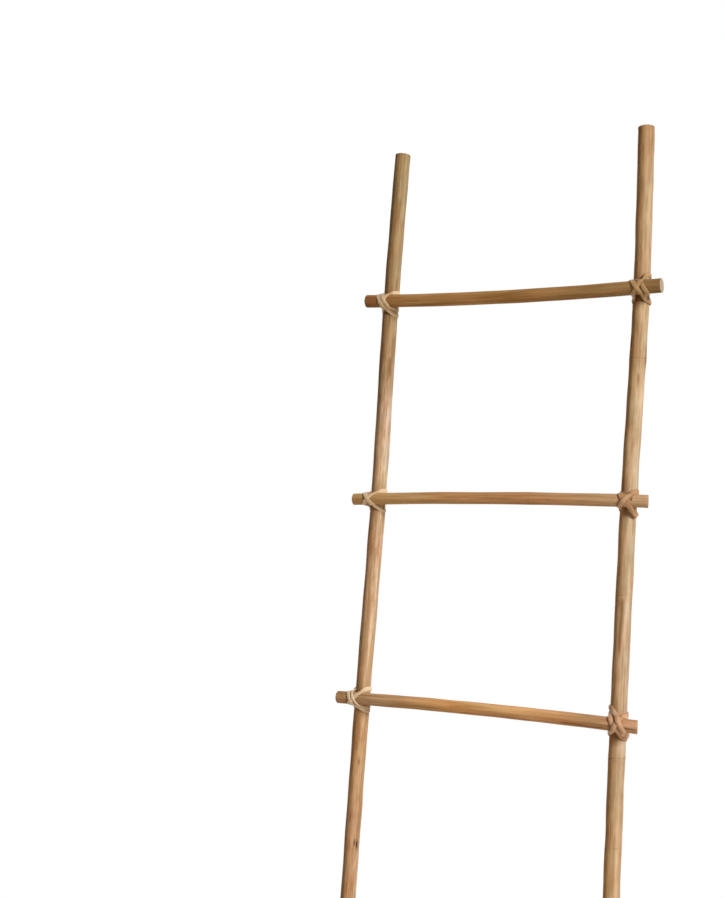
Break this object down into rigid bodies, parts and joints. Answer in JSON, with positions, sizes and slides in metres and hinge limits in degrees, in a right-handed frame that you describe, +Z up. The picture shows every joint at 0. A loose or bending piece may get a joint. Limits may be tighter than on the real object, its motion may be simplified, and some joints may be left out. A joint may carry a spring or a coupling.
{
  "type": "leaning rattan ladder",
  "caption": "Leaning cane ladder for towels and blankets: round rungs laid across two poles, each crossing nailed and bound with a strip of split cane.",
  "frame": {"origin": "on the floor, under the middle of the ladder's bounding box", "axes": "+X to the right along the rungs as seen from the front, +Y back towards the wall, +Z up"},
  "size_m": [0.5066, 0.3148, 1.8253],
  "materials": {
    "pole_cane": "natural unpeeled-node rattan pole, rubbed smooth and left matt",
    "rung_cane": "natural rattan rung, a little browner than the poles, matt",
    "lashing": "pale split-cane strip, satin on its outer skin",
    "nail": "plain bright wire nail"
  },
  "bodies": {
    "root": {"lashing_1_left": "lashing", "lashing_1_right": "lashing", "lashing_2_left": "lashing", "lashing_2_right": "lashing", "lashing_3_left": "lashing", "lashing_3_right": "lashing", "lashing_4_left": "lashing", "lashing_4_right": "lashing", "lashing_5_left": "lashing", "lashing_5_right": "lashing", "left_pole": "pole_cane", "right_pole": "pole_cane", "rung_1": "rung_cane", "rung_1_nails": "nail", "rung_2": "rung_cane", "rung_2_nails": "nail", "rung_3": "rung_cane", "rung_3_nails": "nail", "rung_4": "rung_cane", "rung_4_nails": "nail", "rung_5": "rung_cane", "rung_5_nails": "nail"}
  },
  "joints": []
}
